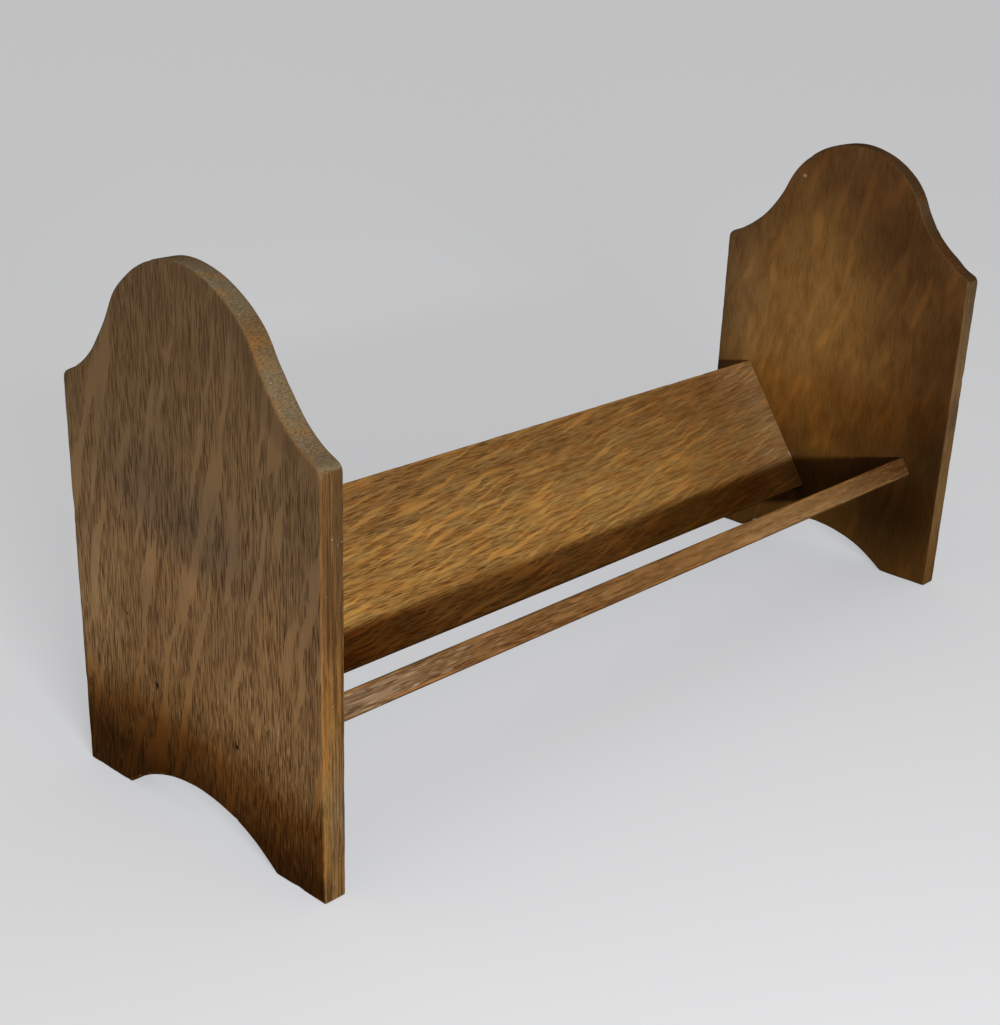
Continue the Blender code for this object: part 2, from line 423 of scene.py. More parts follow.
def oak_figure(wood, slant, fleck_size, fleck_level, pore_size, pore_reach, blur):
    """The flecks, pores and grain of an oak board, each from 0 to 1."""
    bend = (cloud(wood, mm(30, 30, 26)) - 0.5) * BEND_REACH
    comb = (cloud(wood, mm(0.9, 0.9, 90), detail=0.0) - 0.5) * COMB_REACH
    drift = wood.finish.node("ShaderNodeCombineXYZ", {"Y": bend, "Z": comb})
    bent = wood.finish.node("ShaderNodeVectorMath", {0: wood, 1: drift}, operation="ADD")
    fleck = cloud(bent, fleck_size, (slant, 0, 0), detail=0.6, rough=0.4)
    strength = cloud(wood, mm(20, 16, 30), centre=(0.11, 0.05, 0.23))
    fleck = fleck.rise(fleck_level, blur + fleck_level) * strength.rise(0.3, 0.52)
    closer = (cloud(wood, mm(3, 3, 200)) - 0.5) * 0.28
    near, drawn = cells(wood, pore_size)
    dashes = (near - closer).rise(pore_reach, pore_reach * 0.62)
    pores = dashes * (drawn * 0.6 + 0.55).least(1.0) * (1 - fleck * 0.92)
    return fleck, pores, cloud(wood, mm(0.46, 0.46, 13))


# %% Oak's colour and shader
GRAIN_TINT = (0.42, 0.35, 0.28)
PORE_TINT = (0.24, 0.18, 0.13)


def figured(ground, fleck, pores, grain, lift):
    """Lays flecks, tinted by lift, grain and pores over a ground colour."""
    colour = ground.toned(fleck, lift)
    lines = grain.rise(0.45, 0.6) * 0.58 * (1 - fleck * 0.78)
    colour = colour.covered(lines, ground.tint(GRAIN_TINT))
    return colour.covered(pores, ground.tint(PORE_TINT))


def waxed(colour, rough, height, relief, polish=0.0, polish_rough=0.03):
    """Ends a finish: dull wood with this relief under a soft coat of wax."""
    finish = colour.finish
    bump = finish.node("ShaderNodeBump", {"Strength": 1.0, "Distance": relief, "Height": height})
    fed = {
        "Base Color": colour,
        "Roughness": rough,
        "Normal": bump,
        "Specular IOR Level": 0.0,
        "Coat Weight": polish,
        "Coat Roughness": polish_rough,
    }
    finish.surface(finish.node("ShaderNodeBsdfPrincipled", fed))
    print(finish.owner.name, "has", len(finish.tree.nodes), "nodes")


print("oak is a solid pattern")

# %% [markdown]
# ## The end panels' oak
#
# The outside is a dull middle brown with dense pores. It is warmest above the feet, greyer under
# the dome, where a sheen is painted into the colour, lighter and bluer low at the rear by painted
# light, and almost black-brown where years of polish and floor dirt have settled at the bottom. The
# inside has been rubbed golden where the books slide and has kept its old dark stain round the rim
# and under the boards, and in the rail's shadow it is painted lighter, as bounce light from the back
# board. The top edge is end grain, rough and olive grey, with painted shade where it faces down. One
# finish does all of it: the way the surface faces tells edge from face, and the distances to the rim
# and to the nearest sharp edge are painted on the mesh, as a shader can't measure them.

# %% Panel oak
DUST = (0.55, 0.5, 0.42)
PANEL_SLANT = math.radians(15)
PANEL_PORES = mm(0.47, 0.47, 9)

panel_oak = new_finish("oak_panel")
at = object_place(panel_oak)
at_x, at_y, at_z = parts_of(at)
face_x, _, face_z = parts_of(object_facing(panel_oak))
near_side = at_x.rise(0.0, -0.1)
far_side = at_x.rise(0.0, 0.1)
fleck_size = far_side.between(mm(9, 5.2, 48), mm(9, 6, 27))
fleck_level = 0.566 - far_side * 0.036
fleck_blur = far_side * 0.13 + 0.04
fleck, pores, grain = oak_figure(at, PANEL_SLANT, fleck_size, fleck_level, PANEL_PORES, 0.5, fleck_blur)
rim = painted(panel_oak, "rim")
arris = painted(panel_oak, "arris")
mottle = cloud(at, mm(34, 28, 50), detail=3.0, rough=0.55)
on_face = abs(face_x).rise(0.6, 0.8)
outside = abs(at_x).rise(0.2226, 0.2234)
print("panel oak: figure laid")

# %% Panel oak, outside
FOOT_DARK = (0.06, 0.023, 0.0054)
OUTSIDE_WARM = (0.372, 0.216, 0.093)
OUTSIDE_SHEEN_GREY = (0.166, 0.107, 0.06)
OUTSIDE_STOPS = (
    (0.06, FOOT_DARK),
    (0.15, (0.162, 0.068, 0.017)),
    (0.22, (0.296, 0.163, 0.063)),
    (0.31, OUTSIDE_WARM),
    (0.46, OUTSIDE_WARM),
    (0.64, (0.266, 0.162, 0.071)),
    (0.9, (0.212, 0.127, 0.055)),
)

wander = (mottle - 0.5) * 0.028
height = (at_z + wander - at_y * 0.06 + at_y.rise(-0.045, -0.07) * 0.005) / PANEL_HEIGHT
# Painted sheen: the outside under the dome is greyed, as a sheen on the face would grey it.
grey_sheen = blot(at, (-HALF_LENGTH, 0.0, 0.133), (0.1, 0.07, 0.028), (0.12, 0, 0))
grey_sheen = (grey_sheen * 0.6 + mottle.rise(0.58, 0.36) * 0.28) * at_z.rise(0.05, 0.1)
rim_band = rim.rise(0.0105, 0.006) * at_y.rise(0.006, -0.006) * at_z.rise(0.165, 0.185) * outside
# Painted light: the lower rear of the outside is made lighter and bluer.
painted_light_low_rear = at_y.rise(0.025, 0.07) * at_z.rise(0.122, 0.096)
outside_ground = (
    panel_oak.node("ShaderNodeValToRGB", {"Fac": height}, stops=OUTSIDE_STOPS)
    .covered(grey_sheen, OUTSIDE_SHEEN_GREY)
    .toned(rim_band * 0.45, (0.55, 0.52, 0.5))
    .toned(at_y.rise(-0.045, -0.072), (0.85, 0.84, 0.83))
    .toned(painted_light_low_rear, (1.16, 1.24, 1.38))
)
lift = height.rise(0.36, 0.16).between((1.09, 1.09, 1.14), (1.24, 1.13, 0.97))
thinner = at_z.rise(0.14, 0.2) * 0.28 + at_z.rise(0.05, 0.025) * 0.25
outside_pores = pores * (0.92 - rim_band * 0.7 - thinner)
outside_colour = figured(outside_ground, fleck, outside_pores, grain, lift)
print("panel oak: outside ground")

# %% [markdown]
# ## Marks on the outside
#
# The stopping over two of the pins has bled a dark ring into the wood, and above the front foot
# there is a slanting smear. Between the pores run much finer dark lines, and low down, where dust
# has filled them, some are pale instead. The two ends of one noise give both.

# %% Panel oak, marks and fine lines
PIN_STAIN = (0.05, 0.028, 0.012)
PIN_MARKS = ((0.025, 0.0553), (-0.0253, 0.0483))

for mark in PIN_MARKS:
    stain = blot(at, (-HALF_LENGTH, *mark), mm(3, 1.9, 3), (0.15, 0, 0), soft=0.55)
    outside_colour = outside_colour.covered(stain * 0.92, PIN_STAIN)
smear = blot(at, (-HALF_LENGTH, -0.0567, 0.0605), mm(3, 1.3, 5.5), (0.75, 0, 0))
fine = cloud(at, mm(0.3, 0.34, 6), centre=(0.05, 0.13, 0.29))
fine_share = (at_z.rise(0.115, 0.045) * 0.45 + 0.55) * (1 - fleck * 0.7)
fine_dark = fine.rise(0.44, 0.32) * fine_share * 0.6
filled = fine.rise(0.56, 0.68) * fine_share * at_z.rise(0.105, 0.045)
outside_colour = (
    outside_colour
    .covered(smear * 0.5, FOOT_DARK)
    .toned(fine_dark, (0.5, 0.46, 0.42))
    .covered(filled * 0.55, outside_ground.tint((2.1, 2.3, 3.0)))
)
print("panel oak: outside")

# %% Panel oak, inside ground
INSIDE_GOLD = (0.275, 0.138, 0.038)
INSIDE_BROWN = (0.118, 0.053, 0.015)
INSIDE_LOW = (0.098, 0.046, 0.0115)

rub = blot(at, (INNER_FACE, 0.032, 0.128), (2, 0.1, 0.11), (-0.1, 0, 0))
rub = (rub * 1.15 + (mottle - 0.5) - 0.05).least(1.0).most(0.0) * rim.rise(-0.012, 0.016)
stained = cloud(at, mm(12, 9, 20), detail=3.0, rough=0.6).rise(0.44, 0.66)
crown = blot(at, (INNER_FACE, -0.034, 0.19), (1, 0.046, 0.044))
ahead = at_y.rise(-0.044, -0.07) * at_z.rise(0.16, 0.14)
low_share = (at_z + at_y * 0.25 + (mottle - 0.5) * 0.03).rise(0.085, 0.05)
inside_ground = (
    rub.between(INSIDE_BROWN, INSIDE_GOLD)
    .toned(at_z.rise(0.12, 0.09), (0.86, 0.76, 0.58))
    .toned(stained * 0.55, (0.66, 0.58, 0.46))
    .tint((1.04, 1.06, 1.08))
    .toned(at_y.rise(0.035, 0.07), (0.92, 1.0, 1.28))
    .toned(crown, (0.74, 0.72, 0.68))
    .toned(ahead, (0.76, 0.73, 0.7))
    .covered(low_share * 0.92, INSIDE_LOW)
)
print("panel oak: inside ground")

# %% Panel oak, inside
INSIDE_DARK = (0.031, 0.015, 0.0052)
INSIDE_LIFT = (1.25, 1.19, 1.11)

grime = blot(at, (INNER_FACE, -0.072, 0.074), (1, 0.034, 0.036))
damp = blot(at, (INNER_FACE, -0.05, 0.034), (1, 0.048, 0.04))
# Painted bounce light: in the rail's shadow the inside is painted lighter.
bounce_light_behind_rail = blot(at, (INNER_FACE, -0.004, 0.06), (1, 0.03, 0.013), soft=0.7)
under_rail = blot(at, (INNER_FACE, -0.056, 0.046), (1, 0.044, 0.026), soft=0.8)
inside_ground = (
    inside_ground
    .covered((grime * 0.72 + damp * 0.85).least(0.92), INSIDE_DARK)
    .toned(bounce_light_behind_rail, (1.26, 1.32, 1.26))
    .toned(under_rail, (0.78, 0.7, 0.56))
)
nick = blot(at, (INNER_FACE, -0.039, 0.121), mm(3, 2.6, 1.6), (0.5, 0, 0))
bruise = blot(at, (INNER_FACE, 0.03, 0.214), mm(3, 1.8, 1.3), soft=0.8)
inside_colour = (
    figured(inside_ground, fleck, pores * 0.24, grain * 0.3, INSIDE_LIFT)
    .covered(nick * 0.7, INSIDE_LOW)
    .covered(bruise * 0.5, DUST)
)
print("panel oak: inside")

# %% Panel oak, end grain
END_OLIVE = (0.202, 0.153, 0.091)
END_OCHRE = (0.256, 0.153, 0.068)
PANEL_MIDDLE = 0.2232

speckle = cloud(at, mm(1.4, 0.5, 0.6), detail=2.0, rough=0.7)
tufts = cloud(at, mm(14, 9, 16), detail=2.0, rough=0.6)
end_ground = tufts.rise(0.44, 0.66).between(END_OLIVE, END_OCHRE)
ochre = blot(at, (-PANEL_MIDDLE, -0.038, 0.214), mm(20, 10, 12), soft=0.8)
# Painted shade: end grain that faces down, under the arch and the feet, is darkened.
end_colour = (
    end_ground.toned(speckle.rise(0.42, 0.66) * 0.62, (0.38, 0.36, 0.34))
    .covered(speckle.rise(0.33, 0.24) * 0.5, DUST)
    .toned(at_z.rise(0.22, 0.232), (1.2, 1.27, 1.42))
    .toned(ochre * 0.9, (0.93, 0.75, 0.57))
    .toned(face_z.rise(-0.1, -0.5) * 0.9, (0.3, 0.24, 0.2))
)
print("panel oak: end grain")

# %% [markdown]
# ## The panels' front edge
#
# The near panel's front edge is the best lit strip of the trough. From its outer arris inwards come
# an orange stripe where the stain is rubbed through, wider and paler lower down, a thin black line
# of old wax beside it, and brown long grain. The distance in from the outer face tells them apart.

# %% Panel oak, front edge
EDGE_BROWN = (0.168, 0.08, 0.028)
EDGE_PALE = (0.23, 0.145, 0.072)

inward = HALF_LENGTH - abs(at_x)
edge_shade = at_z.rise(0.115, 0.15).between((1.2, 1.2, 1.08), (0.9, 0.93, 0.86))
lit = at_z.rise(0.055, 0.075) * at_z.rise(0.112, 0.095) * near_side
paler = inward.rise(0.0024, 0.0034) * inward.rise(0.006, 0.0048) * at_z.rise(0.118, 0.132)
shady = inward.rise(0.0052, 0.007) * at_z.rise(0.095, 0.115)
low_inner = at_z.rise(0.062, 0.05) * at_z.rise(0.012, 0.022) * inward.rise(0.0042, 0.0058)
dull = blot(at, (-0.219, -HALF_DEPTH, 0.098), (2.6 * MM, 0.1, 12 * MM), soft=0.8)
edge_ground = (
    (at_z.rise(0.085, 0.03) + far_side * 0.7).between(EDGE_BROWN, EDGE_PALE)
    .tint(edge_shade)
    .toned(lit, (1.18, 1.24, 1.2))
    .tint(at_z.rise(0.04, 0.015).between((1, 1, 1), (0.8, 0.7, 0.56)))
    .toned(paler * near_side, (1.22, 1.32, 1.34))
    .toned(shady * near_side, (0.68, 0.72, 0.72))
    .toned(low_inner * near_side, (0.78, 0.78, 0.84))
    .toned(dull, (0.74, 0.68, 0.58))
)
streak = cloud(at, mm(1, 2, 55), detail=2.0, rough=0.65)
streaked = streak.rise(0.46, 0.6) * (0.8 - far_side * 0.5)
edge_colour = edge_ground.toned(streaked, (0.28, 0.26, 0.26))
print("panel oak: front edge")

# %% Panel oak, orange stripe
STRIPE_ORANGE = (0.33, 0.14, 0.027)
EDGE_BLACK = (0.042, 0.033, 0.02)

widened = at_z.rise(0.165, 0.06) + at_z.rise(0.085, 0.05) * 1.4
stripe_width = (widened + 0.9 + (streak - 0.5) * 3) * MM
stripe = (stripe_width - inward).rise(-0.0003, 0.0005) * near_side * at_z.rise(0.004, 0.02)
stripe_tint = (
    at_z.rise(0.125, 0.1).between((0.5, 0.46, 0.44), (0.54, 0.44, 0.3))
    .covered(at_z.rise(0.086, 0.062), (0.94, 1.0, 1.25))
    .covered(at_z.rise(0.062, 0.045), (0.64, 0.88, 1.5))
)
stripe_share = stripe * (at_z.rise(0.1, 0.05) * 0.2 + 0.66)
fibre = cloud(at, mm(0.4, 0.8, 7), centre=(0.21, 0.02, 0.17), detail=2.0, rough=0.6)
fibre_share = (1 - far_side * 0.7) * (at_z.rise(0.15, 0.05) * 0.3 + 0.5)
past_stripe = inward - stripe_width
beside = past_stripe.rise(0.0022, 0.0006) * past_stripe.rise(0.0, 0.0006)
beside = beside * at_z.rise(0.15, 0.125) * at_z.rise(0.092, 0.115) * near_side
edge_colour = (
    edge_colour
    .covered(stripe_share, stripe_tint.tint(STRIPE_ORANGE))
    .toned(fibre.rise(0.54, 0.68) * fibre_share, (0.46, 0.44, 0.42))
    .toned(fibre.rise(0.42, 0.3) * fibre_share, (1.45, 1.5, 1.7))
    .covered(beside * streak.rise(0.35, 0.55) * 0.4, EDGE_BLACK)
    .covered(pores * 0.5, edge_ground.tint((0.35, 0.3, 0.3)))
)
print("panel oak: stripe")

# %% Panel oak, all edges
on_end = abs(face_z).rise(0.25, 0.6)
smudge = blot(at, (PANEL_MIDDLE, -HALF_DEPTH, 0.1), mm(20, 10, 15), soft=0.8)
smudge = (smudge + at_z.rise(0.15, 0.166) * 0.6).least(1.0)
far_tint = (
    at_z.rise(0.08, 0.105).between((0.82, 0.76, 0.68), (0.94, 0.93, 0.82))
    .toned(smudge, (0.66, 0.65, 0.76))
    .covered(on_end, (0.48, 0.36, 0.28))
)
edge_colour = edge_colour.covered(on_end, end_colour).toned(far_side, far_tint)
print("panel oak: edges")

# %% Panel oak, wear
WORN_OAK = (0.3, 0.138, 0.032)
WORN_HIGH = (0.178, 0.088, 0.024)
WORN_DOME = (0.195, 0.108, 0.042)
SCUFF_PALE = (0.72, 0.66, 0.56)

patches = cloud(at, mm(2.2, 4, 12), detail=2.0, rough=0.6)
dome_share = at_z.rise(0.178, 0.196)
worn = arris.rise(0.0012, 0.0003) * (patches - dome_share * 0.06).rise(0.44, 0.6) * at_x.rise(0.25, -0.1)
worn_colour = at_z.rise(0.135, 0.09).between(WORN_HIGH, WORN_OAK).covered(dome_share * 0.8, WORN_DOME)
scuff = blot(at, (-0.2283, -0.0772, 0.1735), mm(1.3, 2.5, 2.6), soft=0.6)
dust = crumbs(at, mm(7, 7, 7), 0.045, 0.25)
specks = crumbs(at, mm(2.4, 2.4, 3.4), 0.13, 0.3) * (1 - on_face)
specks = specks * (at_z.rise(0.06, 0.1) + at_z.rise(0.055, 0.035) * 0.7)
panel_colour = (
    edge_colour.covered(on_face, outside.between(inside_colour, outside_colour))
    .covered(worn * (0.7 - dome_share * 0.15), worn_colour)
    .covered(scuff * patches.rise(0.42, 0.52) * 0.9, SCUFF_PALE)
    .covered((dust * 0.8 + specks * 0.6).least(0.85), DUST)
)
print("panel oak: wear")

# %% Panel oak, shader
PANEL_RELIEF = 0.08 * MM

rough_end = on_end * (1 - on_face)
height = grain * 0.3 + fleck * 0.15 - pores * 0.8 - speckle * rough_end * 1.8
rough = pores * 0.15 - fleck * 0.06 - worn * 0.08 + rough_end * 0.22 + 0.46
polish = (at_z.rise(0.03, 0.14) * 0.26 + 0.02) * (1 - rough_end) * (1 - pores * 0.4)
waxed(panel_colour, rough, height, PANEL_RELIEF, polish, 0.38)

# %% [markdown]
# ## Cutting the end panels
#
# The real panel was sawn from one board: a dome, a hollow cove on each side, square shoulders and
# an arch that leaves two feet. The outline could be typed point by point, but each curve is an
# arc, so a single vertex is swept round each centre with spin and half the outline is mirrored.
# The flat shape is then thickened, its sharp edges are bevelled, and rings and straight cuts
# divide it finely enough for wear.

# %% Panel outline
SHOULDER = 0.1755
DOME_RADIUS = 0.0454
DOME_CENTRE = PANEL_HEIGHT - DOME_RADIUS
COVE_RADIUS = 0.0594
ARCH_HALF_WIDTH = 0.0485
ARCH_RISE = 0.0174
ARC_STEPS = 26
SHOULDER_BLUNT = 1.6 * MM
MERGE = 0.01 * MM


def verts_of(geometry):
    """The vertices in what an operator returned."""
    return [part for part in geometry if isinstance(part, bmesh.types.BMVert)]


def cove_centre():
    """Where the cove's centre lies, so that it touches the dome and ends at the shoulder."""
    reach = HALF_DEPTH, SHOULDER - DOME_CENTRE
    apart = math.hypot(*reach)
    to_cove = DOME_RADIUS + COVE_RADIUS
    along = (apart**2 + to_cove**2 - COVE_RADIUS**2) / (2 * apart)
    aside = math.sqrt(to_cove**2 - along**2)
    across = (reach[0] * along - reach[1] * aside) / apart
    up = (reach[1] * along + reach[0] * aside) / apart
    return across, DOME_CENTRE + up


def sweep(shape, vert, centre, turn):
    """Sweeps a vertex about X round a centre and returns the last one."""
    place = {"cent": (0, *centre), "axis": (1, 0, 0), "angle": turn, "steps": ARC_STEPS}
    made = bmesh.ops.spin(shape, geom=[vert], **place)
    return verts_of(made["geom_last"])[0]


def flat_panel():
    """Half the outline swept and mirrored, then filled."""
    shape = bmesh.new()
    cove = cove_centre()
    to_cove = math.atan2(cove[1] - DOME_CENTRE, cove[0])
    to_shoulder = math.atan2(SHOULDER - cove[1], HALF_DEPTH - cove[0])
    top = shape.verts.new((0, 0, DOME_CENTRE + DOME_RADIUS))
    hollow = sweep(shape, top, (0, DOME_CENTRE), to_cove - math.pi / 2)
    shoulder = sweep(shape, hollow, cove, to_shoulder - (to_cove - math.pi))
    foot = shape.verts.new((0, HALF_DEPTH, 0))
    heel = shape.verts.new((0, ARCH_HALF_WIDTH, 0))
    arch_radius = (ARCH_HALF_WIDTH**2 + ARCH_RISE**2) / (2 * ARCH_RISE)
    spread = math.asin(ARCH_HALF_WIDTH / arch_radius)
    shape.edges.new((shoulder, foot))
    shape.edges.new((foot, heel))
    sweep(shape, heel, (0, ARCH_RISE - arch_radius), spread)
    everything = shape.verts[:] + shape.edges[:]
    bmesh.ops.mirror(shape, geom=everything, merge_dist=MERGE, axis="Y")
    bmesh.ops.remove_doubles(shape, verts=shape.verts, dist=MERGE)
    corners = [v for v in shape.verts if abs(v.co.z - SHOULDER) < 10 * MERGE]
    blunt = {"offset": SHOULDER_BLUNT, "segments": 3, "profile": 0.5, "affect": "VERTICES", "material": -1}
    bmesh.ops.bevel(shape, geom=corners, **blunt)
    bmesh.ops.edgeloop_fill(shape, edges=shape.edges)
    return shape


trial = flat_panel()
print("panel outline:", len(trial.verts), "corners,", len(trial.faces), "face")
trial.free()

# %% [markdown]
# ## Wear
#
# A hand-made panel has no true edges left. Its arrises are rubbed round, here more and there
# less, with a few nicks. Painting that in the finish alone would leave the outline too clean, so
# the mesh itself is worn: near an arris each vertex sinks by a noise. The same walk over the mesh
# paints the two distances that the finish reads.

# %% Wear on the mesh
WEAR_REACH = 2.4 * MM
WEAR_WAVE = 11 * MM
NICK_SIZE = 4.2 * MM
NICK_LEVEL = 0.28
PLANE_WAVE = 45 * MM
PLANE_DEPTH = 0.05 * MM


def wear(shape, to_arris, to_rim, seed, depth):
    """Sinks the vertices near the sharp edges and paints the distances on the mesh."""
    shape.normal_update()
    arris_layer = shape.verts.layers.float.new("arris")
    rim_layer = shape.verts.layers.float.new("rim")
    shift = Vector((seed, seed * 0.7, seed * 1.3))
    for vert in shape.verts:
        gap = to_arris(vert.co)
        vert[arris_layer] = gap
        vert[rim_layer] = to_rim(vert.co)
        near = max(0.0, 1.0 - gap / WEAR_REACH) ** 2
        slow = 0.5 + 0.5 * noise.noise((vert.co + shift) / WEAR_WAVE)
        nick = max(0.0, noise.noise((vert.co - shift) / NICK_SIZE) - NICK_LEVEL)
        plane = noise.noise((vert.co + shift) / PLANE_WAVE)
        sink = depth * near * (0.75 * slow**2 + 1.6 * nick) + PLANE_DEPTH * (plane + 0.6)
        vert.co -= vert.normal * sink


print("wear reaches", WEAR_REACH, "m from an arris")

# %% Cuts and pieces
CUT_MERGE = 0.001 * MM
SMOOTH_BELOW = math.radians(50)


def slice_shape(shape, places, direction):
    """Cuts the shape by planes square to a direction at these places along it."""
    for place in places:
        every = shape.verts[:] + shape.edges[:] + shape.faces[:]
        plane = {"plane_co": direction * place, "plane_no": direction}
        bmesh.ops.bisect_plane(shape, geom=every, dist=CUT_MERGE, **plane)


def steps_between(low, high, pitch):
    """Evenly spaced places between two ends."""
    count = max(1, round((high - low) / pitch))
    return [low + (high - low) * step / count for step in range(1, count)]


def round_edges(shape, edges, width, segments):
    """Rounds these edges."""
    bevel = {"offset_type": "OFFSET", "segments": segments, "profile": 0.5, "material": -1}
    bmesh.ops.bevel(shape, geom=edges, offset=width, affect="EDGES", **bevel)


def finished_piece(name, shape, finish, node):
    """Turns the shape into a piece that stands for the given solid."""
    mesh = bpy.data.meshes.new(name)
    shape.to_mesh(mesh)
    shape.free()
    mesh.shade_smooth()
    mesh.set_sharp_from_angle(angle=SMOOTH_BELOW)
    mesh.materials.append(finish.owner)
    piece = add_object(name, mesh)
    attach(piece, "root")
    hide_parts(node)
    print(name, "has", len(mesh.vertices), "vertices")


print("piece helpers ready")

# %% [markdown]
# ## Pin holes
#
# The holes for the pins are punched 2.6 mm under the face and filled with dark stopping. Each is
# cut as a small eight-sided pit: eight planes cross the faces close by, and what lies inside is
# pushed in. That keeps the hole part of the mesh without a boolean. Where the holes are follows
# from the trough's corner and its two directions, out over the rail and up the back board.

# %% Directions and pin holes
TILT = math.radians(35)
CORNER = Vector((0, 0.0033, 0.0316))
OUT = Vector((0, -math.cos(TILT), math.sin(TILT)))
UP = Vector((0, math.sin(TILT), math.cos(TILT)))
ALONG = Vector((1, 0, 0))
STOPPING_RADIUS = 1.05 * MM
FIXINGS = {
    "board_low": CORNER + UP * 31.8 * MM - OUT * 4.2 * MM,
    "board_high": CORNER + UP * 63.7 * MM - OUT * 4.2 * MM,
    "rail_back": CORNER + OUT * 33.4 * MM - UP * 3.6 * MM,
    "rail_front": CORNER + OUT * 56.6 * MM - UP * 3.6 * MM,
}
PIT_SIDES = 8
PIT_REACH = 6 * MM
PIT_RIM = 0.12 * MM
PIT_DEPTH = 0.6 * MM


def outer_faces(shape, centre, reach, side):
    """The outer faces of the panel within reach of a centre."""
    close = [f for f in shape.faces if (f.calc_center_median() - centre).length < reach]
    return [f for f in close if f.normal.x * side > 0.9]


def punch(shape, centre, side):
    """Pushes an eight-sided pit into the panel's outer face."""
    for step in range(PIT_SIDES):
        angle = 2 * math.pi * (step + 0.5) / PIT_SIDES
        way = Vector((0, math.cos(angle), math.sin(angle)))
        near = outer_faces(shape, centre, PIT_REACH, side)
        parts = near + list({v for f in near for v in f.verts}) + list({e for f in near for e in f.edges})
        at_side = centre + way * STOPPING_RADIUS
        bmesh.ops.bisect_plane(shape, geom=parts, dist=CUT_MERGE, plane_co=at_side, plane_no=way)
    inner = outer_faces(shape, centre, STOPPING_RADIUS, side)
    bmesh.ops.inset_region(shape, faces=inner, thickness=PIT_RIM, depth=-PIT_DEPTH)


print("pin holes at", [tuple(round(c, 4) for c in place.yz) for place in FIXINGS.values()])

# %% [markdown]
# ## Two panels cut by hand
#
# The panels were sawn one by one, so their domes differ. The near one is flatter and wider and its
# edge slopes inwards in front, and the far one is fuller on its front side. Two bends of the same
# mesh give that, each faded in by height and depth, without a second outline.

# %% Hand-cut domes
DOME_SLOPE = 1.2 * MM
DOME_WIDER = 0.055
DOME_LOWER = 1.4 * MM
DOME_FULLER = 0.044


def ramp(value, low, high):
    """Runs smoothly from 0 at low to 1 at high."""
    share = min(1.0, max(0.0, (value - low) / (high - low)))
    return share * share * (3 - 2 * share)


def near_cut(shape, to_rim):
    """Gives the near dome its own line: flatter, wider, and sloping inwards in front."""
    for vert in shape.verts:
        height = vert.co.z
        from_centre = Vector((0, vert.co.y, height - DOME_CENTRE))
        inwards = (HALF_LENGTH + vert.co.x) / THICKNESS
        slope = ramp(vert.co.y, 0.012, -0.012) * ramp(height, 0.196, 0.214) * ramp(to_rim(vert.co), 7 * MM, 0)
        vert.co -= from_centre.normalized() * DOME_SLOPE * inwards * slope
        vert.co.y *= 1 + DOME_WIDER * ramp(height, 0.176, 0.198) * ramp(height, 0.234, 0.212)
        vert.co.z -= DOME_LOWER * ramp(height, 0.208, 0.234)


def far_cut(shape):
    """Gives the far dome its fuller front side."""
    for vert in shape.verts:
        height = vert.co.z
        fuller = ramp(vert.co.y, 0, -0.02) * ramp(height, 0.1762, 0.184) * ramp(height, PANEL_HEIGHT, 0.222)
        vert.co.y *= 1 + DOME_FULLER * fuller


print("near dome", DOME_LOWER, "m lower")

# %% Panel from the outline
PANEL_ARRIS = 0.9 * MM
PANEL_WEAR = 0.55 * MM
SHARP = math.radians(30)
RINGS = mm(1.5, 1)
OUTLINE_STEPS = 80
EDGE_CUTS = 2.4 * MM
CORNER_REACH = 4.5 * MM
CORNER_RUB = 0.8 * MM


def outline_tree(shape):
    """Points along the outline, in a tree that finds the nearest."""
    tree = kdtree.KDTree(len(shape.edges) * OUTLINE_STEPS)
    for edge in shape.edges:
        first, last = (v.co for v in edge.verts)
        for step in range(OUTLINE_STEPS):
            tree.insert(first.lerp(last, step / OUTLINE_STEPS), 0)
    tree.balance()
    return tree


def thicken(shape, inner, outer):
    """Makes the flat outline a board between two faces, with round arrises and fine cuts."""
    bmesh.ops.translate(shape, verts=shape.verts, vec=(inner, 0, 0))
    raised = bmesh.ops.extrude_face_region(shape, geom=shape.faces[:])
    bmesh.ops.translate(shape, verts=verts_of(raised["geom"]), vec=(outer - inner, 0, 0))
    bmesh.ops.recalc_face_normals(shape, faces=shape.faces)
    inset = {"depth": 0.0, "use_even_offset": True, "use_boundary": True}
    for ring in RINGS:
        caps = sorted(shape.faces, key=lambda f: f.calc_area())[-2:]
        bmesh.ops.inset_region(shape, faces=caps, thickness=ring, **inset)
    round_edges(shape, [e for e in shape.edges if e.calc_face_angle() > SHARP], PANEL_ARRIS, 3)
    slice_shape(shape, steps_between(-HALF_DEPTH, HALF_DEPTH, 4 * MM), Vector((0, 1, 0)))
    slice_shape(shape, steps_between(0.0, PANEL_HEIGHT, 2.5 * MM), Vector((0, 0, 1)))
    middle = (outer + inner) / 2
    slice_shape(shape, [middle - EDGE_CUTS, middle, middle + EDGE_CUTS], ALONG)


def rub_shoulders(shape):
    """Takes a little more off the four shoulder corners."""
    for vert in shape.verts:
        corner = Vector((vert.co.x, math.copysign(HALF_DEPTH, vert.co.y), SHOULDER))
        rubbed_off = max(0.0, 1 - (vert.co - corner).length / CORNER_REACH) ** 2
        vert.co -= Vector((0, math.copysign(0.7, vert.co.y), 0.7)) * rubbed_off * CORNER_RUB


